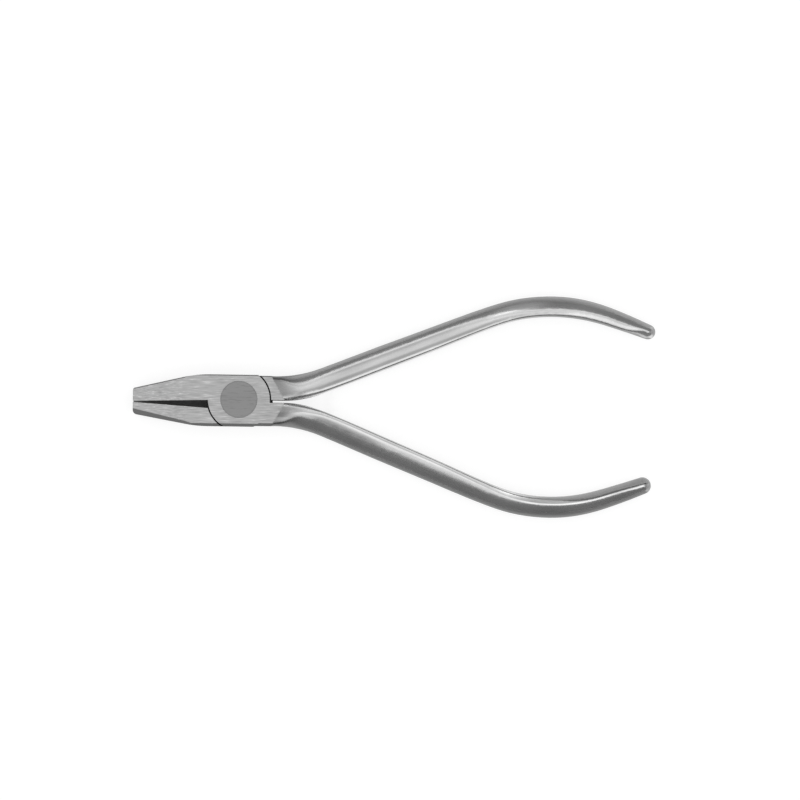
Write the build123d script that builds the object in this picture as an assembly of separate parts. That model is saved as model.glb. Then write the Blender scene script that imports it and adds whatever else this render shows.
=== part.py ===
from build123d import *
import os
from dataclasses import astuple, dataclass
from math import atan2, cos, degrees, radians, sin, tan

# Slim orthodontic pliers with a lap joint, lying on their back.
# The pivot is the Z axis, the back of the joint is z = 0, the jaws point to -X
# and the handles to +X. Lengths are in millimetres and angles in degrees.

# Lap joint
head_thickness = 7.4
upper_head_edge = 6.1
lower_head_edge = 6.75
lap_radius = 7.66
rim_gap = 0.36
lap_clearance = 0.04
fine_bevel = 0.25
broad_bevel = 0.75

# Pivot rivet
rivet_head_diameter = 9.1
rivet_head_depth = 1.6
rivet_cone_depth = 1.1
rivet_shank_diameter = 5.0
rivet_tail_diameter = 6.6
rivet_tail_depth = 0.8
running_clearance = 0.04

# Jaws
jaw_reach = 26.3
jaw_tip_thickness = 4.4
shoulder_lead = 2.9
shoulder_radius = 30.0
tip_gap = 0.31
bite_line = -0.88
upper_tip_width = 3.15
lower_tip_width = 2.9
upper_relief = 1.45
lower_relief = 3.75
upper_tip_corner = 0.6
lower_tip_corner = 1.1
broad_bevel_at_tip = 1.35

# Handle roots, where the flat head ends on a slanted line
split_line = -0.4
split_gap = 0.75
root_step = 0.2
root_outer_reach = 8.0
root_inner_reach = 11.3
root_blend = 9.0
crown_run = 6.5
bow_lead = 12.0

# Handle centre lines: root curve, straight shank, bow and tail
upper_splay = 21.5
lower_splay = 22.3
root_curve_radius = 31.0
shank_length = 43.8
upper_bow_radius = 42.7
lower_bow_radius = 40.4
bow_turn = 40.0
tail_radius = 200.0
upper_tail_length = 10.8
lower_tail_length = 11.4

# Handle sections
shank_width = 6.0
upper_bow_width = 5.1
lower_bow_width = 5.25
upper_end_width = 3.7
lower_end_width = 4.2
shank_height = 6.5
bow_height = 5.8
end_height = 4.2
end_run = 6.0
crown_section_count = 3
root_section_count = 3
shank_section_count = 3
bow_section_count = 5
tail_section_count = 2
end_section_count = 2


@dataclass
class Crown:
    """The form of a handle's front or back.

    crest is the crest's distance from the inner side as a share of the width. The others
    are the fullness of the section outside and inside the crest, at its side and at its top.
    A low fullness at the top makes the crest a ridge with a flat flank.
    """

    crest: float
    outer_side: float
    outer_top: float
    inner_side: float
    inner_top: float


# Each form of a handle from its throat through the shank and the bow to the tail
root_crown = Crown(0.5, 1.1, 1.1, 1.1, 1.1)
end_crown = Crown(0.5, 0.45, 0.2, 0.45, 0.2)
flat_crowns = (
    Crown(0.28, 0.60, 0.58, 0.95, 0.85),
    Crown(0.20, 0.68, 0.72, 0.95, 0.82),
    Crown(0.24, 0.38, 0.26, 0.98, 0.82),
    Crown(0.38, 0.42, 0.20, 0.72, 1.00),
)
ridged_crowns = (
    Crown(0.26, 0.42, 0.30, 1.00, 0.90),
    Crown(0.17, 0.38, 0.20, 1.05, 0.95),
    Crown(0.34, 0.44, 0.12, 0.88, 0.75),
    Crown(0.40, 0.48, 0.10, 0.45, 0.22),
)


@dataclass
class Side:
    """The sizes of the jaw and the handle above or below the split line."""

    sign: int
    head_edge: float
    front_bevel: float
    back_bevel: float
    front_tip_bevel: float
    back_tip_bevel: float
    tip_width: float
    relief: float
    tip_corner: float
    splay: float
    bow_radius: float
    tail_length: float
    bow_width: float
    end_width: float
    front_crowns: tuple
    back_crowns: tuple


UPPER = Side(1, upper_head_edge, fine_bevel, broad_bevel, fine_bevel, broad_bevel_at_tip,
             upper_tip_width, upper_relief, upper_tip_corner, upper_splay,
             upper_bow_radius, upper_tail_length, upper_bow_width, upper_end_width,
             flat_crowns, ridged_crowns)
LOWER = Side(-1, lower_head_edge, broad_bevel, fine_bevel, broad_bevel_at_tip, fine_bevel,
             lower_tip_width, lower_relief, lower_tip_corner, lower_splay,
             lower_bow_radius, lower_tail_length, lower_bow_width, lower_end_width,
             ridged_crowns, flat_crowns)

mid_height = head_thickness / 2
clear_radius = lap_radius + rim_gap
shoulder_reach = lap_radius + shoulder_lead


def inner_tip(side):
    """Distance of the jaw's gripping edge from the pivot line at the tip."""
    return side.sign * bite_line + tip_gap / 2


def outer_tip(side):
    """Distance of the jaw's outer edge from the pivot line at the tip."""
    return inner_tip(side) + side.tip_width


def jaw_slope(side):
    """Slope, in radians, of the jaw's outer edge from its tip to its shoulder."""
    return atan2(side.head_edge - outer_tip(side), jaw_reach - shoulder_reach)


def taper_start(side):
    """Where the outer edge leaves the shoulder's curve and the jaw starts to thin."""
    slope = jaw_slope(side)
    run = shoulder_radius * tan(slope / 2) * cos(slope)
    return shoulder_reach + run, side.head_edge - run * tan(slope)


def outline_solid(side, corners):
    """A plate of the head's full thickness from the corners of its outline."""
    outline = Polyline(*[(x, side.sign * y) for x, y in corners], close=True)
    return extrude(make_face(outline), amount=head_thickness, dir=(0, 0, 1))


def upright_edge_at(solid, side, x, y):
    """The upright edge of a plate at one corner of its outline."""
    corner = Vector(x, side.sign * y, mid_height)
    return solid.edges().filter_by(Axis.Z).sort_by_distance(corner)[0]


def bevelled(solid, side, start, end, face_sign):
    """Cuts a 45 degree bevel along an outer edge.

    start and end are (x, y, half thickness, bevel width), and face_sign is 1 for the
    front face and -1 for the back face.
    """
    def on_face(point):
        x, y, half_thickness, width = point
        return Vector(x, side.sign * (y - width), mid_height + face_sign * half_thickness)

    x, y, half_thickness, width = start
    on_side = Vector(x, side.sign * y, mid_height + face_sign * (half_thickness - width))
    along = on_face(end) - on_face(start)
    normal = along.cross(on_side - on_face(start)).normalized()
    if normal.Y * side.sign < 0:
        normal = -normal
    cut = Plane(origin=on_face(start), x_dir=along, z_dir=normal)
    return split(solid, bisect_by=cut, keep=Keep.BOTTOM)


def head_bevelled(solid, side, edge):
    """Bevels a head plate along the straight edge at this distance from the pivot line."""
    for face_sign, width in ((1, side.front_bevel), (-1, side.back_bevel)):
        start = (0, edge, mid_height, width)
        end = (1, edge, mid_height, width)
        solid = bevelled(solid, side, start, end, face_sign)
    return solid


def jaw(side):
    """A jaw with its shoulder, thinned to the tip, relieved inside and bevelled outside."""
    inner_throat = inner_tip(side) + jaw_reach * tan(radians(side.relief))
    body = outline_solid(side, [
        (0, side.head_edge),
        (-shoulder_reach, side.head_edge),
        (-jaw_reach, outer_tip(side)),
        (-jaw_reach, inner_tip(side)),
        (0, inner_throat),
    ])
    shoulder = upright_edge_at(body, side, -shoulder_reach, side.head_edge)
    body = fillet(shoulder, shoulder_radius)
    tip_corner = upright_edge_at(body, side, -jaw_reach, outer_tip(side))
    body = fillet(tip_corner, side.tip_corner)
    body = body & thinning_envelope(side)
    taper_reach, taper_edge = taper_start(side)
    bevels = ((1, side.front_bevel, side.front_tip_bevel), (-1, side.back_bevel, side.back_tip_bevel))
    for face_sign, root_bevel, tip_bevel in bevels:
        start = (-taper_reach, taper_edge, mid_height, root_bevel)
        end = (-jaw_reach, outer_tip(side), jaw_tip_thickness / 2, tip_bevel)
        body = bevelled(body, side, start, end, face_sign)
    return head_bevelled(body, side, side.head_edge)


def thinning_envelope(side):
    """The space between the two faces of a jaw, which come together towards the tip."""
    half_tip = jaw_tip_thickness / 2
    taper_reach, _ = taper_start(side)
    profile = Polyline(
        (0, 0),
        (-taper_reach, 0),
        (-jaw_reach, mid_height - half_tip),
        (-jaw_reach, mid_height + half_tip),
        (-taper_reach, head_thickness),
        (0, head_thickness),
        close=True,
    )
    side_view = make_face(Plane.XZ * profile)
    return extrude(side_view, amount=side.head_edge + jaw_reach, dir=(0, 1, 0), both=True)


def lap_plate(bottom, top):
    """The round plate of one half, with the head's two straight edges."""
    disc = Pos(0, 0, bottom) * Cylinder(
        lap_radius, top - bottom, align=(Align.CENTER, Align.CENTER, Align.MIN)
    )
    middle = (upper_head_edge - lower_head_edge) / 2
    width = upper_head_edge + lower_head_edge
    band = Pos(0, middle, mid_height) * Box(2 * lap_radius, width, head_thickness)
    plate = disc & band
    for side in (UPPER, LOWER):
        plate = head_bevelled(plate, side, side.head_edge)
    return plate


def plate_clearance(bottom, top):
    """The space in which the other half's lap plate turns."""
    return Pos(0, 0, bottom) * Cylinder(
        clear_radius, top - bottom, align=(Align.CENTER, Align.CENTER, Align.MIN)
    )


def handle_edges(side):
    """Distances of the handle root's outer and inner edges from the pivot line."""
    outer = side.head_edge - root_step
    inner = side.sign * split_line + split_gap / 2
    return outer, inner


def handle_root(side):
    """The flat block of the head that carries the handle, ended on a slant."""
    outer, inner = handle_edges(side)
    block = outline_solid(side, [
        (0, outer),
        (root_outer_reach, outer),
        (root_inner_reach, inner),
        (0, inner),
    ])
    return head_bevelled(block, side, outer)


def smooth(share):
    """Eases from 0 to 1 with level ends, and stays there outside that range."""
    share = min(max(share, 0), 1)
    return share * share * (3 - 2 * share)


def blend(start, end, share):
    """The value at a share of the way from start to end."""
    return start + (end - start) * share


def stretches(side):
    """The centre line of a handle as (length, signed curvature) stretches."""
    root = (root_curve_radius * radians(side.splay), 1 / root_curve_radius)
    shank = (shank_length, 0)
    bow = (side.bow_radius * radians(bow_turn), -1 / side.bow_radius)
    tail = (side.tail_length, -1 / tail_radius)
    return root, shank, bow, tail


def centre_point(side, distance):
    """Position and heading of the centre line at a distance along it."""
    outer, inner = handle_edges(side)
    x = (root_outer_reach + root_inner_reach) / 2
    y = (outer + inner) / 2
    heading = 0
    for length, curvature in stretches(side):
        run = min(distance, length)
        turn = run * curvature
        chord = run if turn == 0 else 2 * sin(turn / 2) / curvature
        x += chord * cos(heading + turn / 2)
        y += chord * sin(heading + turn / 2)
        heading += turn
        distance -= run
    return x, y, heading


def stations(side):
    """Distances along the centre line at which the handle's sections stand."""
    (root, _), (shank, _), (bow, _), (tail, _) = stretches(side)
    stretch_sections = (
        (crown_run, crown_section_count),
        (root - crown_run, root_section_count),
        (shank, shank_section_count),
        (bow, bow_section_count),
        (tail - end_run, tail_section_count),
        (end_run, end_section_count),
    )
    distances = [0]
    for length, count in stretch_sections:
        start = distances[-1]
        distances += [start + length * step / count for step in range(1, count + 1)]
    return distances


def landmarks(side):
    """Distances along a handle of its waist, the middle of its bow and its end."""
    (root, _), (shank, _), (bow, _), (tail, _) = stretches(side)
    return root + shank / 4, root + shank + bow / 2, root + shank + bow + tail


def handle_sizes(side, distance):
    """Width and height of the handle at a distance."""
    waist, bow_middle, end = landmarks(side)
    outer, inner = handle_edges(side)
    rise = smooth(distance / crown_run)
    ease = smooth((distance - waist) / (bow_middle - waist))
    close = max(0, (distance - bow_middle) / (end - bow_middle)) ** 2
    width = blend(outer - inner, shank_width, smooth(distance / root_blend))
    width = blend(blend(width, side.bow_width, ease), side.end_width, close)
    height = blend(blend(head_thickness, shank_height, rise), bow_height, ease)
    return width, blend(height, end_height, close)


def crown_at(side, crowns, distance):
    """The form of a handle's front or back at a distance."""
    (root, _), (shank, _), (bow, _), _ = stretches(side)
    _, bow_middle, end = landmarks(side)
    changes = (
        (0, crown_run),
        (crown_run, root),
        (root + shank - bow_lead, bow_middle),
        (bow_middle, root + shank + bow),
        (end - end_run, end),
    )
    form = root_crown
    for (start, finish), following in zip(changes, (*crowns, end_crown)):
        share = smooth((distance - start) / (finish - start))
        form = Crown(*[blend(old, new, share) for old, new in zip(astuple(form), astuple(following))])
    return form


def quarter(width, height, at_side, at_top):
    """Control points of a rounded quarter, from its side point to its top point.

    A fullness of 0.55 at both gives a quarter of an ellipse, and 1 an almost square corner.
    """
    return (width, 0), (width, at_side * height), (at_top * width, height), (0, height)


def section_wire(width, height, crowns):
    """A handle section: a crest above and one below, each with its outer and inner side."""
    edges = []
    for up, crown in zip((1, -1), crowns):
        crest_place = (crown.crest - 0.5) * width
        sides = (
            (1, 1 - crown.crest, crown.outer_side, crown.outer_top),
            (-1, crown.crest, crown.inner_side, crown.inner_top),
        )
        for direction, share, at_side, at_top in sides:
            curve = quarter(share * width, height / 2, at_side, at_top)
            edges.append(Bezier(*[(crest_place + direction * x, up * y) for x, y in curve]))
    return Wire(edges)


def handle_section(side, distance):
    """The section of a handle, placed on its centre line and skewed near the root."""
    outer, inner = handle_edges(side)
    x, y, heading = centre_point(side, distance)
    root_skew = atan2(root_inner_reach - root_outer_reach, outer - inner)
    skew = root_skew * (1 - smooth(distance / root_blend))
    angle = heading + skew
    plane = Plane(
        origin=(x, side.sign * y, mid_height),
        x_dir=(-sin(angle), side.sign * cos(angle), 0),
        z_dir=(cos(angle), side.sign * sin(angle), 0),
    )
    crowns = [crown_at(side, form, distance) for form in (side.front_crowns, side.back_crowns)]
    width, height = handle_sizes(side, distance)
    wire = section_wire(width / cos(skew), height, crowns[::side.sign])
    return plane * make_face(wire)


def handle(side):
    """A handle lofted along its centre line, with a round end, and ground flush with the head."""
    sections = [handle_section(side, distance) for distance in stations(side)]
    reach = sum(length for length, _ in stretches(side))
    ground = Pos(reach, 0, mid_height) * Box(2 * reach, 2 * reach, head_thickness)
    return (loft(sections) & ground) + handle_end(side)


def handle_end(side):
    """The round end of a handle: half of its last section turned about its upright axis."""
    distance = stations(side)[-1]
    x, y, heading = centre_point(side, distance)
    width, height = handle_sizes(side, distance)
    half = half_section(width / 2, height / 2, end_crown)
    upright = Location((x, side.sign * y, mid_height), (0, 0, side.sign * degrees(heading) - 90))
    return upright * revolve(half, Axis.Z, 180)


def half_section(width, height, crown):
    """Half of a symmetric section, standing on the XZ plane."""
    edges = [Line((0, 0, -height), (0, 0, height))]
    curve = quarter(width, height, crown.outer_side, crown.outer_top)
    for up in (1, -1):
        edges.append(Bezier(*[(x, 0, up * z) for x, z in curve]))
    return make_face(Wire(edges))


def rivet_profile(clearance):
    """Half section of the rivet, or of its bore with a clearance in the turning half."""
    head = rivet_head_diameter / 2 + clearance
    shank = rivet_shank_diameter / 2 + clearance
    shoulder = head_thickness - rivet_head_depth - clearance
    cone_end = shoulder - rivet_cone_depth
    return head, shank, shoulder, cone_end


def rivet():
    """The flush rivet: a round head, a cone, a shank and a tail spread at the back."""
    head, shank, shoulder, cone_end = rivet_profile(0)
    tail = rivet_tail_diameter / 2
    profile = Polyline(
        (0, 0),
        (tail, 0),
        (shank, rivet_tail_depth),
        (shank, cone_end),
        (head, shoulder),
        (head, head_thickness),
        (0, head_thickness),
        close=True,
    )
    return revolve(make_face(Plane.XZ * profile), Axis.Z, 360)


def running_bore():
    """The bore of the front half, which turns on the rivet."""
    head, shank, shoulder, cone_end = rivet_profile(running_clearance)
    profile = Polyline(
        (0, 0),
        (shank, 0),
        (shank, cone_end),
        (head, shoulder),
        (head, head_thickness),
        (0, head_thickness),
        close=True,
    )
    return revolve(make_face(Plane.XZ * profile), Axis.Z, 360)


def front_half():
    """Upper jaw, front lap plate and lower handle, in one forging."""
    seat = mid_height + lap_clearance / 2
    body = jaw(UPPER) + handle_root(LOWER)
    body = body - plate_clearance(0, seat)
    body = body + lap_plate(seat, head_thickness)
    body = body + handle(LOWER)
    return body - running_bore()


def rear_half():
    """Lower jaw, rear lap plate and upper handle, in one forging."""
    seat = mid_height - lap_clearance / 2
    body = jaw(LOWER) + handle_root(UPPER)
    body = body - plate_clearance(seat, head_thickness)
    body = body + lap_plate(0, seat)
    body = body + handle(UPPER)
    return body - rivet()


os.makedirs("parts", exist_ok=True)
export_step(front_half(), "parts/front_half.step")
export_step(rear_half(), "parts/rear_half.step")
export_step(rivet(), "parts/pivot_rivet.step")
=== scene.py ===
from math import pi, radians
from typing import NamedTuple

import bpy
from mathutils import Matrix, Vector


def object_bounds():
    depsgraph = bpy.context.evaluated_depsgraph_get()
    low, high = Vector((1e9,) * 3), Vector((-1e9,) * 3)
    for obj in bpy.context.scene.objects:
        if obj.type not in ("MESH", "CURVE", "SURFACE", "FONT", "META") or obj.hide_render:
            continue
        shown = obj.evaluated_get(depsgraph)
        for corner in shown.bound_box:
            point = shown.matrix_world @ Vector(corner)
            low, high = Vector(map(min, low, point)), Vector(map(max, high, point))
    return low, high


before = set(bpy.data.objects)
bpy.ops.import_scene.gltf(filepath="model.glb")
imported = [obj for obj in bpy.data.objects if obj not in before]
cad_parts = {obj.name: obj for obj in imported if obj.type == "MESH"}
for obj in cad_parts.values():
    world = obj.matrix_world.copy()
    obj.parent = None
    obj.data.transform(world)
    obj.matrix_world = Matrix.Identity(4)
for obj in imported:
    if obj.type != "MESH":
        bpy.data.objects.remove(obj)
cad_low, cad_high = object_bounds()

# Slim steel pliers lying on a pale floor, seen from straight above. The rivet's axis is Z and
# the jaws point to -X. The rear half's handle lies towards +Y and the front half's towards -Y.
# Places on the steel and on the floor are in millimetres from the rivet's axis.

MM = 0.001

# Camera, in millimetres and degrees: straight above the tool, turned a little about the pivot
view_centre = (39.9, 0.43)
view_width = 198.4
view_turn = 0.85
view_distance = 2400.0
sensor_width = 36.0

# Light, in metres: panels side by side above the tool, each from one edge to the next and
# the weakest straight above it, an even room round it, and a paler wall on the side of
# the rear half's handle
lamp_height = 1.0
lamp_length = 3.6
panel_edges = (-1.0, -0.5, -0.12, 0.08, 0.26, 0.42, 0.62, 1.0)
panel_radiances = (0.95, 1.35, 0.65, 0.85, 1.15, 0.7, 1.1)
room_level = 0.21
side_wall_place = 2.6
side_wall_length = 5.2
side_wall_height = 2.4
side_wall_radiance = 0.08
side_wall_turn = -90.0

# Floor, with its side in metres: its own tone, and the light added where the tool leaves it
# open, by the share of the sky that it sees within the shade's reach
floor_side = 8.0
floor_tone = 0.25
floor_lift = 0.82
shade_reach = 6.0
openness_samples = 8
openness_range = (0.25, 0.45)

# Fork between the handle roots, where the floor stays lit: where it starts, fades and ends
# along the tool, its line across it, and its half width, which grows with the square of the
# way from where it opens
fork_start = 8.3
fork_fade = 20.0
fork_end = 28.0
fork_line = -0.45
fork_half_width = 0.25
fork_opens = 11.0
fork_growth = 0.02

# Slot between the jaws, where the floor is painted in shadow: where it starts and ends along
# the tool, its line across it, and its half width, which grows evenly from its start
slot_start = -26.3
slot_end = -6.95
slot_line = -0.95
slot_half_width = 0.24
slot_growth = 0.052

# Near-black tone on the walls and bottom of the gap round the lap plates: the gap's radius and
# the distance from it at which the tone fades, the heights at which it fades at the front and the
# back, how squarely the gap's walls and bottom face, how much of it the walls take, and its tone
gap_radius = 7.84
gap_fade = (0.3, 0.36)
gap_front = (7.3, 7.37)
gap_back = (0.03, 0.1)
gap_facing = (0.93, 0.96)
wall_darkening = 0.6
gap_dark_tone = 0.02

# Ground faces of the head and the jaws: they end on a slant to each side of the line between
# the handles, and lie where the steel faces straight up or down
split_line = -0.4
zone_reach = 11.45
zone_slant = 0.55
zone_blend = 0.3
ground_facing = (0.975, 0.99)
ground_tone = 0.395
ground_roughness = 0.38
head_side_tone = 0.23
head_side_roughness = 0.45

# Centre lines of the handles: the middle of the root's curve and of the bow, with y counted
# outwards, their radii, and how far each handle splays and each bow turns, in degrees
root_curve_radius = 31.0
root_curve_middles = {"front": (9.65, 34.66), "rear": (9.65, 33.94)}
bow_middles = {"front": (77.27, -14.78), "rear": (77.41, -18.58)}
bow_radii = {"front": 40.4, "rear": 42.7}
splays = {"front": 22.3, "rear": 21.5}
bow_turn = 40.0
shank_middle = 40.0

# Polish of the handles, darker at the throat as painted shade, and on the shank beyond it, with
# painted shade in a scoop, a strip and a hollow and painted light along the throat's inner edge,
# and how each change lies along the tool or outwards across the handle: two places are where it
# starts and ends, and four are where it starts, is full, is last full and ends
throat_length = 7.5
shaded_throat_polish = 0.28
shank_polish = 0.56
polish_roughness = 0.22
scoop_across = (0.0, 2.5)
scoop_shade_depth = 0.35
strip_across = (-2.1, -1.6, -1.4, -0.75)
strip_throat_shift = 1.5
strip_end = (60.0, 74.0)
strip_shade_depth = 0.36
hollow_across = (-1.4, -0.2, 0.3, 0.8)
hollow_shade_depth = 0.35
inner_edge_across = (-2.6, -2.0)
flat_edge_light = 0.62
ridged_edge_light = 0.95

# Painted highlight along the crisp ridge on the bow, with painted shade beside it, and the dull
# flank inside it, which all drift outwards along the handle from where the ridge starts
ridge_start = 74.0
ridge_lead = 8.0
ridge_place = -0.85
ridge_drift = 0.02
crisp_across = (-0.2, 0.05, 0.15, 0.4)
crisp_highlight = 0.4
soft_across = (-2.0, -1.2, -0.28, -0.04)
soft_shade = -0.36
inner_flank_lead = 3.0
inner_flank_place = -1.83
inner_flank_drift = 0.04
inner_flank_across = (-0.15, 0.05)

# Sides of the handles, by how squarely they face: the flat side, the outer flank and its rim,
# which are rougher and painted in shade, the dull inner side of the tail and its dull end, and the
# glint inside the tail's tip
flat_side_facing = (-0.2, 0.2)
outer_flank_facing = (0.55, 0.72)
outer_flank_roughness = 0.45
rim_blend = 0.1
tail_start = (68.0, 80.0)
inner_side_facing = (0.5, 0.7)
end_facing = (0.4, 0.85)
dull_tone = 0.46
dull_roughness = 0.6
glint_start = (93.0, 98.0)
glint_side_facing = (-0.1, 0.2)
glint_facing = (0.3, 0.45, 0.72, 0.86)
glint_tone = 0.75
glint_roughness = 0.22

# Rivet: its tone, the thin darker ring inside its rim, and its few darker scratches
rivet_radius = 4.55
rivet_tone = 0.25
rivet_roughness = 0.45
rivet_pattern_shift = (40.0, 13.0, 0.0)
ring_inset_start = 0.35
ring_inset_full = 0.2
ring_shade = 0.94
scratch_lines = (0.33, 0.43)
scratch_shade = 0.84

# Lines of a grinding belt and the broader patches among them: how finely each is broken up,
# how much longer than wide the patches are, and the brightest lines, which become flecks
line_detail = 2.0
line_break_up = 0.6
patch_detail = 1.0
patch_break_up = 0.5
patch_stretch = 2.0
noise_middle = 0.5
fleck_lines = (0.62, 0.75)


class FinishAndShading(NamedTuple):
    """How one half is finished, with hand 1 where its handle lies towards +Y and -1 towards -Y, and
    painted shade on its outer flank, rim and throat and painted light on its tail's flank.
    """
    hand: float
    flank_shade_tone: float
    rim_shade_tone: float
    rim_start: float
    throat_shade_tone: float
    tail_painted_light: float
    pattern_shift: tuple


class Grain(NamedTuple):
    """Grinding lines to a millimetre, their length, the patches' size, and each one's depth."""
    lines_across: float
    line_length: float
    patch_size: float
    line_depth: float
    patch_depth: float
    fleck_depth: float


class PaintedShading(NamedTuple):
    """A place on a handle's flat or ridged side where painted shade lowers the polish by a share of
    itself, or painted light raises it.
    """
    across: tuple
    along: tuple
    on_flat_side: bool
    change: float


finishes_and_shading = {
    "front": FinishAndShading(-1.0, 0.19, 0.28, 0.62, 0.19, 0.0, (13, 5, 0)),
    "rear": FinishAndShading(1.0, 0.38, 0.22, 0.86, 0.14, 0.12, (70, 31, 0)),
}
ground_grain = Grain(5.0, 3.6, 4.0, 1.2, 0.22, 0.5)
polish_grain = Grain(1.6, 9.0, 5.0, 0.25, 0.25, 0.0)
rivet_grain = Grain(4.0, 3.0, 4.0, 0.12, 0.08, 0.0)

# Places of painted shade, and of painted highlight where the change is positive; the third place
# reaches past the handle's inner edge
painted_shading_places = (
    PaintedShading((-0.95, 0.6, 0.7, 0.95), (18.0, 27.0, 48.0, 58.0), True, -0.28),
    PaintedShading((-0.5, 0.0, 1.0, 1.6), (60.0, 68.0, 72.0, 79.0), True, 0.5),
    PaintedShading((-9.0, -8.0, -2.0, -1.2), (62.0, 72.0, 78.0, 90.0), True, -0.28),
    PaintedShading((-1.9, -1.0, -0.7, -0.1), (14.0, 22.0, 32.0, 38.0), False, -0.38),
    PaintedShading((-2.5, -2.15, -1.9, -1.5), (62.0, 68.0, 72.0, 78.0), False, 0.75),
)


def grey(value):
    """A neutral colour."""
    return (value, value, value, 1.0)


def add(tree, kind, **values):
    """Adds a node with these properties."""
    node = tree.nodes.new(kind)
    for name, value in values.items():
        setattr(node, name, value)
    return node


def feed(tree, target, value):
    """Feeds an input from another node's output, or sets it to a plain value."""
    if isinstance(value, bpy.types.NodeSocket):
        tree.links.new(value, target)
    else:
        target.default_value = value


def maths(tree, operation, first, second=None, clamp=False):
    """A maths node fed by sockets or numbers, and its result."""
    node = add(tree, "ShaderNodeMath", operation=operation, use_clamp=clamp)
    feed(tree, node.inputs[0], first)
    if second is not None:
        feed(tree, node.inputs[1], second)
    return node.outputs[0]


def times(tree, first, *others):
    """The product of sockets and numbers."""
    for other in others:
        first = maths(tree, "MULTIPLY", first, other)
    return first


def opposite(tree, share):
    """What a share leaves of 1."""
    return maths(tree, "SUBTRACT", 1.0, share)


def changed(tree, value, share):
    """A value made higher by a share of itself, or lower where the share is negative."""
    return times(tree, value, maths(tree, "ADD", 1.0, share))


def lowered(tree, value, share):
    """A value made lower by a share of itself."""
    return times(tree, value, opposite(tree, share))


def remap(tree, value, low, high, to_low=0.0, to_high=1.0):
    """Eases a value from one range to another."""
    node = add(tree, "ShaderNodeMapRange", interpolation_type="SMOOTHSTEP")
    feed(tree, node.inputs["Value"], value)
    feed(tree, node.inputs["From Min"], low)
    feed(tree, node.inputs["From Max"], high)
    feed(tree, node.inputs["To Min"], to_low)
    feed(tree, node.inputs["To Max"], to_high)
    return node.outputs["Result"]


def fade(tree, value, low, high):
    """1 up to the low end of a range, eased to 0 at its high end."""
    return remap(tree, value, low, high, 1.0, 0.0)


def band(tree, value, start, full, last, end):
    """1 between full and last, eased to 0 at start and end."""
    return times(tree, remap(tree, value, start, full), fade(tree, value, last, end))


def blend_values(tree, factor, first, second):
    """The first value at factor 0 and the second at factor 1."""
    node = add(tree, "ShaderNodeMix", data_type="FLOAT")
    feed(tree, node.inputs[0], factor)
    feed(tree, node.inputs[2], first)
    feed(tree, node.inputs[3], second)
    return node.outputs[0]


def vector_maths(tree, operation, first, second):
    """A maths node for vectors, and its result."""
    node = add(tree, "ShaderNodeVectorMath", operation=operation)
    feed(tree, node.inputs[0], first)
    feed(tree, node.inputs[1], second)
    return node.outputs[0]


def separated(tree, vector):
    """The X, Y and Z of a vector, by name."""
    node = add(tree, "ShaderNodeSeparateXYZ")
    feed(tree, node.inputs[0], vector)
    return node.outputs


def combined(tree, x, y, z):
    """A vector from its X, Y and Z."""
    node = add(tree, "ShaderNodeCombineXYZ")
    feed(tree, node.inputs["X"], x)
    feed(tree, node.inputs["Y"], y)
    feed(tree, node.inputs["Z"], z)
    return node.outputs[0]


def flat_product(tree, first, second):
    """The dot product of two separated vectors, seen from above."""
    along = times(tree, first["X"], second["X"])
    across = times(tree, first["Y"], second["Y"])
    return maths(tree, "ADD", along, across)


def noise(tree, place, detail, break_up):
    """Soft noise with forms about 1 wide."""
    node = add(tree, "ShaderNodeTexNoise")
    feed(tree, node.inputs["Vector"], place)
    feed(tree, node.inputs["Scale"], 1.0)
    feed(tree, node.inputs["Detail"], detail)
    feed(tree, node.inputs["Roughness"], break_up)
    return node.outputs["Fac"]


def new_group(name, vectors, numbers, results, vector_results=()):
    """A shader node group with named sockets, the values given to it, and its results."""
    group = bpy.data.node_groups.new(name, "ShaderNodeTree")
    for label in vectors:
        group.interface.new_socket(label, in_out="INPUT", socket_type="NodeSocketVector")
    for label, value in numbers.items():
        socket = group.interface.new_socket(label, in_out="INPUT", socket_type="NodeSocketFloat")
        socket.default_value = value
    for label in results:
        group.interface.new_socket(label, in_out="OUTPUT", socket_type="NodeSocketFloat")
    for label in vector_results:
        group.interface.new_socket(label, in_out="OUTPUT", socket_type="NodeSocketVector")
    given = add(group, "NodeGroupInput")
    result = add(group, "NodeGroupOutput")
    return group, given.outputs, result.inputs


def ground_zone_group():
    """Marks the head with the jaws, their flat ground faces, and the shank past the throat."""
    group, given, result = new_group(
        "ground_zone", ("Place", "Facing"), {}, ("Head", "Ground", "Shank")
    )
    place = separated(group, given["Place"])
    facing = separated(group, given["Facing"])
    from_split = maths(group, "ABSOLUTE", maths(group, "SUBTRACT", place["Y"], split_line))
    reach = maths(group, "ADD", place["X"], times(group, from_split, zone_slant))
    inside = fade(group, reach, zone_reach - zone_blend, zone_reach + zone_blend)
    flat = remap(group, maths(group, "ABSOLUTE", facing["Z"]), *ground_facing)
    feed(group, result["Head"], inside)
    feed(group, result["Ground"], times(group, inside, flat))
    feed(group, result["Shank"], remap(group, reach, zone_reach, zone_reach + throat_length))
    return group


def lap_gap_group():
    """Marks the walls and the bottom of the gap round the lap plates, which are made near black."""
    group, given, result = new_group("lap_gap", ("Place", "Facing"), {}, ("Gap",))
    place = separated(group, given["Place"])
    facing = separated(group, given["Facing"])
    radius = maths(group, "SQRT", flat_product(group, place, place))
    from_gap = maths(group, "ABSOLUTE", maths(group, "SUBTRACT", radius, gap_radius))
    beside = fade(group, from_gap, *gap_fade)
    below = fade(group, place["Z"], *gap_front)
    above = remap(group, place["Z"], *gap_back)
    turned = maths(group, "DIVIDE", flat_product(group, place, facing), radius)
    wall = remap(group, maths(group, "ABSOLUTE", turned), *gap_facing)
    bottom = remap(group, maths(group, "ABSOLUTE", facing["Z"]), *gap_facing)
    darkened = maths(group, "MAXIMUM", times(group, wall, wall_darkening), bottom)
    feed(group, result["Gap"], times(group, darkened, below, above, beside))
    return group


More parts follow.
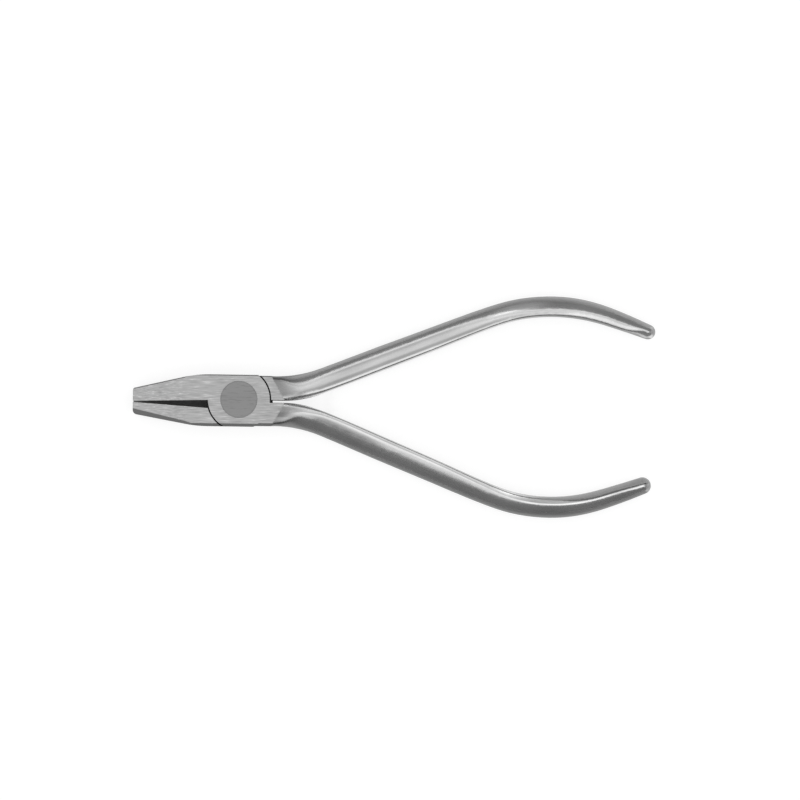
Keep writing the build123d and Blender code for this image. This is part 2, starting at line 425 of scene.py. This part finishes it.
def side_finish_group():
    """Marks a handle's outer flank, its rim, the dull inner side and end, the glint and the tail."""
    group, given, result = new_group(
        "side_finish",
        ("Place", "Facing"),
        {"Hand": 1.0, "Rim Start": 0.8},
        ("Flank", "Rim", "Dull", "Glint", "Tail"),
    )
    place = separated(group, given["Place"])
    facing = separated(group, given["Facing"])
    outward = times(group, given["Hand"], facing["Y"])
    inward = times(group, outward, -1.0)
    past_start = maths(group, "SUBTRACT", outward, given["Rim Start"])
    tail = remap(group, place["X"], *tail_start)
    inner_side = times(group, remap(group, inward, *inner_side_facing), tail)
    end = remap(group, facing["X"], *end_facing)
    near_tip = remap(group, place["X"], *glint_start)
    flat_side = remap(group, times(group, facing["Z"], given["Hand"]), *glint_side_facing)
    glint = times(group, near_tip, flat_side, band(group, inward, *glint_facing))
    feed(group, result["Flank"], remap(group, outward, *outer_flank_facing))
    feed(group, result["Rim"], remap(group, past_start, 0.0, rim_blend))
    feed(group, result["Dull"], maths(group, "MAXIMUM", inner_side, end))
    feed(group, result["Glint"], lowered(group, glint, end))
    feed(group, result["Tail"], tail)
    return group


def from_arc(tree, x, y, middle_x, middle_y, radius, side, low, high):
    """Distance outwards from an arc and its tangents at both ends, where side is 1 for a bow.

    low and high are the headings, in radians, at which the arc starts and ends.
    """
    along = maths(tree, "SUBTRACT", x, middle_x)
    across = times(tree, maths(tree, "SUBTRACT", y, middle_y), side)
    angle = maths(tree, "ARCTAN2", along, across)
    angle = maths(tree, "MINIMUM", maths(tree, "MAXIMUM", angle, low), high)
    reach_along = times(tree, along, maths(tree, "SINE", angle))
    reach_across = times(tree, across, maths(tree, "COSINE", angle))
    reach = maths(tree, "ADD", reach_along, reach_across)
    return times(tree, maths(tree, "SUBTRACT", reach, radius), side)


def handle_line_group():
    """A place that follows a handle's centre line, with its Y the distance outwards from it."""
    arc_sizes = (
        "Splay", "Root Middle X", "Root Middle Y", "Bow Middle X", "Bow Middle Y", "Bow Radius"
    )
    group, given, result = new_group(
        "handle_line", ("Place",), {"Hand": 1.0, **dict.fromkeys(arc_sizes, 0.0)}, (), ("Place",)
    )
    place = separated(group, given["Place"])
    x = place["X"]
    y = times(group, place["Y"], given["Hand"])
    splay = given["Splay"]
    root_middle = (given["Root Middle X"], given["Root Middle Y"])
    root = from_arc(group, x, y, *root_middle, root_curve_radius, -1, 0.0, splay)
    bow_middle = (given["Bow Middle X"], given["Bow Middle Y"])
    bow_start = times(group, splay, -1.0)
    bow_end = maths(group, "SUBTRACT", radians(bow_turn), splay)
    bow = from_arc(group, x, y, *bow_middle, given["Bow Radius"], 1, bow_start, bow_end)
    across = blend_values(group, maths(group, "GREATER_THAN", x, shank_middle), root, bow)
    feed(group, result["Place"], combined(group, x, across, place["Z"]))
    return group


def stretched(tree, place, along, across):
    """A place with its length along the tool and its two other sizes scaled."""
    return vector_maths(tree, "MULTIPLY", place, combined(tree, along, across, across))


def grinding_lines_group():
    """Fine lines left by a belt along the tool, and the tone that they and softer patches give."""
    group, given, result = new_group(
        "grinding_lines",
        ("Place",),
        {
            "Lines Across": 3.0,
            "Line Length": 6.0,
            "Patch Size": 4.0,
            "Line Depth": 0.25,
            "Patch Depth": 0.25,
            "Fleck Depth": 0.0,
        },
        ("Lines", "Tone"),
    )
    lines_along = maths(group, "DIVIDE", 1.0, given["Line Length"])
    line_place = stretched(group, given["Place"], lines_along, given["Lines Across"])
    lines = noise(group, line_place, line_detail, line_break_up)
    patches_along = maths(group, "DIVIDE", 1.0 / patch_stretch, given["Patch Size"])
    patches_across = maths(group, "DIVIDE", 1.0, given["Patch Size"])
    patch_place = stretched(group, given["Place"], patches_along, patches_across)
    patches = noise(group, patch_place, patch_detail, patch_break_up)
    fine = times(group, maths(group, "SUBTRACT", lines, noise_middle), given["Line Depth"])
    broad = times(group, maths(group, "SUBTRACT", patches, noise_middle), given["Patch Depth"])
    bright = times(group, remap(group, lines, *fleck_lines), given["Fleck Depth"])
    mean_and_fine = maths(group, "ADD", 1.0, fine)
    tone = maths(group, "ADD", mean_and_fine, maths(group, "ADD", broad, bright))
    feed(group, result["Lines"], lines)
    feed(group, result["Tone"], tone)
    return group


def drifting(tree, across, x, place, drift):
    """Distance across a handle from a line that drifts outwards along it."""
    moved = times(tree, maths(tree, "SUBTRACT", x, ridge_start), drift)
    return maths(tree, "SUBTRACT", maths(tree, "SUBTRACT", across, place), moved)


def polish_and_shading_group():
    """How a handle's polish varies, with painted shade at its throat, in a scoop, a strip and a
    hollow, painted light along the throat's inner edge, painted shade and highlights in listed
    places, and a painted highlight on the bow's ridge.
    """
    group, given, result = new_group(
        "handle_polish_and_shading",
        ("Place", "Facing"),
        {"Shank": 1.0, "Hand": 1.0},
        ("Polish And Shading", "Inner Flank"),
    )
    place = separated(group, given["Place"])
    facing = separated(group, given["Facing"])
    x = place["X"]
    across = place["Y"]
    shank = given["Shank"]
    throat = opposite(group, shank)
    flat_side = remap(group, times(group, facing["Z"], given["Hand"]), *flat_side_facing)
    ridged_side = opposite(group, flat_side)

    # Darker at the throat as painted shade
    polish_and_shading = blend_values(group, shank, shaded_throat_polish, shank_polish)
    # Painted shade in a scoop at the throat
    scoop = times(group, throat, remap(group, across, *scoop_across), scoop_shade_depth)
    polish_and_shading = lowered(group, polish_and_shading, scoop)
    # Painted shade in a strip along the flat side
    from_strip = maths(group, "ADD", across, blend_values(group, shank, strip_throat_shift, 0.0))
    strip = times(group, band(group, from_strip, *strip_across), fade(group, x, *strip_end))
    polish_and_shading = lowered(group, polish_and_shading, times(group, strip, flat_side, strip_shade_depth))
    # Painted shade in a hollow on the ridged side at the throat
    hollow = times(group, band(group, across, *hollow_across), throat, ridged_side)
    polish_and_shading = lowered(group, polish_and_shading, times(group, hollow, hollow_shade_depth))
    # Painted light along the throat's inner edge
    inner_edge = times(group, throat, fade(group, across, *inner_edge_across))
    edge_light = blend_values(group, flat_side, ridged_edge_light, flat_edge_light)
    polish_and_shading = blend_values(group, inner_edge, polish_and_shading, edge_light)

    # Painted shade and painted highlights in listed places
    for shading_spot in painted_shading_places:
        side = flat_side if shading_spot.on_flat_side else ridged_side
        spot = times(group, band(group, across, *shading_spot.across), band(group, x, *shading_spot.along))
        polish_and_shading = changed(group, polish_and_shading, times(group, spot, side, shading_spot.change))

    # Painted highlight on the bow's ridge and painted shade beside it
    on_bow = times(group, remap(group, x, ridge_start - ridge_lead, ridge_start), ridged_side)
    from_ridge = drifting(group, across, x, ridge_place, ridge_drift)
    ridge_highlight = times(group, band(group, from_ridge, *crisp_across), crisp_highlight)
    ridge_shade = times(group, band(group, from_ridge, *soft_across), soft_shade)
    polish_and_shading = changed(group, polish_and_shading, times(group, maths(group, "ADD", ridge_highlight, ridge_shade), on_bow))
    feed(group, result["Polish And Shading"], polish_and_shading)

    flank_low = ridge_start - inner_flank_lead
    flank_high = ridge_start + inner_flank_lead
    from_flank = drifting(group, across, x, inner_flank_place, inner_flank_drift)
    inside = fade(group, from_flank, *inner_flank_across)
    flank = times(group, inside, remap(group, x, flank_low, flank_high), ridged_side)
    feed(group, result["Inner Flank"], flank)
    return group


def use_group(tree, group, **inputs):
    """A group node's outputs, its inputs fed by their names with underscores for spaces."""
    node = add(tree, "ShaderNodeGroup", node_tree=group)
    for name, value in inputs.items():
        feed(tree, node.inputs[name.replace("_", " ")], value)
    return node.outputs


def use_grain(tree, grain, place):
    """The grinding lines of this grain."""
    return use_group(
        tree,
        grinding_lines,
        Place=place,
        Lines_Across=grain.lines_across,
        Line_Length=grain.line_length,
        Patch_Size=grain.patch_size,
        Line_Depth=grain.line_depth,
        Patch_Depth=grain.patch_depth,
        Fleck_Depth=grain.fleck_depth,
    )


def new_material(name):
    """A material with a Principled shader, its node tree, and that shader's inputs."""
    material = bpy.data.materials.new(name)
    material.use_nodes = True
    shader = material.node_tree.nodes["Principled BSDF"]
    return material, material.node_tree, shader.inputs


def place_in_mm(tree):
    """The surface's own place, in millimetres."""
    coordinates = add(tree, "ShaderNodeTexCoord")
    mapping = add(tree, "ShaderNodeMapping")
    feed(tree, mapping.inputs["Vector"], coordinates.outputs["Object"])
    feed(tree, mapping.inputs["Scale"], (1 / MM,) * 3)
    return mapping.outputs[0]


def surface_facing(tree):
    """The way that the surface faces, in the tool's own directions."""
    return add(tree, "ShaderNodeTexCoord").outputs["Normal"]


def grey_from(tree, value):
    """A neutral colour from a value socket."""
    node = add(tree, "ShaderNodeCombineColor")
    for channel in ("Red", "Green", "Blue"):
        feed(tree, node.inputs[channel], value)
    return node.outputs[0]


def follow_handle(tree, half, place):
    """The place that follows the centre line of this half's handle."""
    root_middle_x, root_middle_y = root_curve_middles[half]
    bow_middle_x, bow_middle_y = bow_middles[half]
    line = use_group(
        tree,
        handle_line,
        Place=place,
        Hand=finishes_and_shading[half].hand,
        Splay=radians(splays[half]),
        Root_Middle_X=root_middle_x,
        Root_Middle_Y=root_middle_y,
        Bow_Middle_X=bow_middle_x,
        Bow_Middle_Y=bow_middle_y,
        Bow_Radius=bow_radii[half],
    )
    return line["Place"]


def forged_steel(half):
    """Steel of a half: ground flat on the head and the jaws, polished on the handle, with painted
    light and shade on the handle's sides and polish.
    """
    finish_and_shading = finishes_and_shading[half]
    hand = finish_and_shading.hand
    material, tree, shader = new_material(f"{half}_steel_finish")
    place = place_in_mm(tree)
    facing = surface_facing(tree)
    line_place = follow_handle(tree, half, place)
    zone = use_group(tree, ground_zone, Place=place, Facing=facing)
    side = use_group(
        tree, side_finish, Place=place, Facing=facing, Hand=hand, Rim_Start=finish_and_shading.rim_start
    )
    handle = use_group(
        tree, handle_polish_and_shading, Place=line_place, Facing=facing, Shank=zone["Shank"], Hand=hand
    )
    gap_dark = use_group(tree, lap_gap, Place=place, Facing=facing)
    pattern_place = vector_maths(tree, "ADD", place, finish_and_shading.pattern_shift)
    ground = times(tree, use_grain(tree, ground_grain, pattern_place)["Tone"], ground_tone)
    polish_and_shading = times(tree, handle["Polish And Shading"], use_grain(tree, polish_grain, line_place)["Tone"])
    # Outer flank, rim and throat painted in shade, and the rear half's tail flank painted lighter
    flank = blend_values(tree, zone["Shank"], finish_and_shading.throat_shade_tone, finish_and_shading.flank_shade_tone)
    rim = blend_values(tree, zone["Shank"], finish_and_shading.throat_shade_tone, finish_and_shading.rim_shade_tone)
    lift = times(tree, side["Tail"], finish_and_shading.tail_painted_light)
    dull = maths(tree, "MAXIMUM", side["Dull"], handle["Inner Flank"])

    tone = blend_values(tree, side["Flank"], polish_and_shading, changed(tree, flank, lift))
    tone = blend_values(tree, side["Rim"], tone, changed(tree, rim, lift))
    tone = blend_values(tree, dull, tone, dull_tone)
    tone = blend_values(tree, side["Glint"], tone, glint_tone)
    tone = blend_values(tree, zone["Head"], tone, head_side_tone)
    tone = blend_values(tree, zone["Ground"], tone, ground)
    # The gap's walls and bottom are made near black
    tone = blend_values(tree, gap_dark["Gap"], tone, gap_dark_tone)

    roughness = blend_values(tree, side["Flank"], polish_roughness, outer_flank_roughness)
    roughness = blend_values(tree, dull, roughness, dull_roughness)
    roughness = blend_values(tree, side["Glint"], roughness, glint_roughness)
    roughness = blend_values(tree, zone["Head"], roughness, head_side_roughness)
    roughness = blend_values(tree, zone["Ground"], roughness, ground_roughness)

    feed(tree, shader["Base Color"], grey_from(tree, tone))
    feed(tree, shader["Roughness"], roughness)
    feed(tree, shader["Metallic"], 1.0)
    return material


def rivet_steel():
    """Matt steel of the rivet, with a thin darker ring at its rim and a few scratches."""
    material, tree, shader = new_material("rivet_steel_finish")
    place = place_in_mm(tree)
    pattern_place = vector_maths(tree, "ADD", place, rivet_pattern_shift)
    grain = use_grain(tree, rivet_grain, pattern_place)
    from_axis = separated(tree, place)
    radius = maths(tree, "SQRT", flat_product(tree, from_axis, from_axis))
    ring_start = rivet_radius - ring_inset_start
    ring_full = rivet_radius - ring_inset_full
    ring = remap(tree, radius, ring_start, ring_full, 1.0, ring_shade)
    scratches = remap(tree, grain["Lines"], *scratch_lines, scratch_shade, 1.0)
    tone = times(tree, grain["Tone"], rivet_tone, ring, scratches)
    feed(tree, shader["Base Color"], grey_from(tree, tone))
    feed(tree, shader["Roughness"], rivet_roughness)
    feed(tree, shader["Metallic"], 1.0)
    return material


def give_material(node, material):
    """Puts a material in every slot of a CAD node."""
    for slot in node.material_slots:
        slot.material = material


def within(tree, value, middle, reach):
    """1 where a value lies within reach of the middle, and 0 elsewhere."""
    distance = maths(tree, "ABSOLUTE", maths(tree, "SUBTRACT", value, middle))
    return maths(tree, "LESS_THAN", distance, reach)


def in_fork(tree, place):
    """1 on the floor between the handle roots, where the fork opens, and 0 outside."""
    at = separated(tree, place)
    opened = maths(tree, "MAXIMUM", maths(tree, "SUBTRACT", at["X"], fork_opens), 0.0)
    widened = times(tree, opened, opened, fork_growth)
    half_width = maths(tree, "ADD", widened, fork_half_width)
    after = maths(tree, "GREATER_THAN", at["X"], fork_start)
    before = fade(tree, at["X"], fork_fade, fork_end)
    return times(tree, within(tree, at["Y"], fork_line, half_width), after, before)


def in_slot_shadow(tree, place):
    """1 on the floor under the wedge between the jaws, where shadow is painted, and 0 outside."""
    at = separated(tree, place)
    widened = times(tree, maths(tree, "SUBTRACT", at["X"], slot_start), slot_growth)
    half_width = maths(tree, "ADD", widened, slot_half_width)
    after = maths(tree, "GREATER_THAN", at["X"], slot_start)
    before = maths(tree, "LESS_THAN", at["X"], slot_end)
    return times(tree, within(tree, at["Y"], slot_line, half_width), after, before)


def floor():
    """A plain pale floor at the tool's back, lit up to white where nothing shades it."""
    bpy.ops.object.select_all(action="DESELECT")
    bpy.ops.mesh.primitive_plane_add(size=floor_side, location=(0, 0, cad_low.z))
    plane = bpy.context.object
    plane.name = "floor"
    material, tree, shader = new_material("pale_floor")
    rays = add(tree, "ShaderNodeLightPath").outputs
    seen = maths(tree, "MAXIMUM", rays["Is Camera Ray"], rays["Is Glossy Ray"])
    seen = maths(tree, "MAXIMUM", seen, rays["Is Transmission Ray"])
    openness = add(tree, "ShaderNodeAmbientOcclusion", samples=openness_samples)
    feed(tree, openness.inputs["Distance"], shade_reach * MM)
    place = place_in_mm(tree)
    lit = remap(tree, openness.outputs["AO"], *openness_range)
    lit = maths(tree, "MAXIMUM", lit, in_fork(tree, place))
    # Painted shadow on the floor in the slot between the jaws
    lit = maths(tree, "SUBTRACT", lit, in_slot_shadow(tree, place), clamp=True)
    feed(tree, shader["Base Color"], grey(floor_tone))
    feed(tree, shader["Roughness"], 1.0)
    feed(tree, shader["Specular IOR Level"], 0.0)
    feed(tree, shader["Emission Color"], grey(1.0))
    feed(tree, shader["Emission Strength"], times(tree, seen, lit, floor_lift))
    plane.data.materials.append(material)


def panel(name, place, size, radiance, turn=0.0):
    """A flat rectangular light of this radiance, facing down before its turn about X."""
    data = bpy.data.lights.new(name, "AREA")
    data.shape = "RECTANGLE"
    data.size = size[0]
    data.size_y = size[1]
    data.energy = radiance * pi * data.size * data.size_y
    lamp = bpy.data.objects.new(name, data)
    lamp.location = place
    lamp.rotation_euler = (radians(turn), 0, 0)
    bpy.context.scene.collection.objects.link(lamp)


def overhead_panels():
    """The panels above the tool, side by side across it."""
    for number, radiance in enumerate(panel_radiances):
        start, end = panel_edges[number:number + 2]
        place = (view_centre[0] * MM, (start + end) / 2, lamp_height)
        panel(f"panel_{number + 1}", place, (lamp_length, end - start), radiance)


def side_wall():
    """The paler wall on the side of the rear half's handle."""
    place = (view_centre[0] * MM, side_wall_place, side_wall_height / 2)
    size = (side_wall_length, side_wall_height)
    panel("side_wall", place, size, side_wall_radiance, side_wall_turn)


def studio():
    """The even, darker room round the tool."""
    world = bpy.data.worlds.new("studio")
    world.use_nodes = True
    world.node_tree.nodes["Background"].inputs["Color"].default_value = grey(room_level)
    bpy.context.scene.world = world


def camera():
    """The camera above the tool, at the photograph's angle."""
    data = bpy.data.cameras.new("camera")
    data.sensor_width = sensor_width
    data.lens = sensor_width * view_distance / view_width
    viewer = bpy.data.objects.new("camera", data)
    height = (cad_low.z + cad_high.z) / 2 + view_distance * MM
    viewer.location = (view_centre[0] * MM, view_centre[1] * MM, height)
    viewer.rotation_euler = (0, 0, radians(view_turn))
    bpy.context.scene.collection.objects.link(viewer)
    bpy.context.scene.camera = viewer


ground_zone = ground_zone_group()
side_finish = side_finish_group()
lap_gap = lap_gap_group()
grinding_lines = grinding_lines_group()
handle_line = handle_line_group()
handle_polish_and_shading = polish_and_shading_group()
give_material(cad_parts["front_half"], forged_steel("front"))
give_material(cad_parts["rear_half"], forged_steel("rear"))
give_material(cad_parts["pivot_rivet"], rivet_steel())
floor()
overhead_panels()
side_wall()
studio()
camera()
bpy.context.scene.view_settings.view_transform = "Standard"
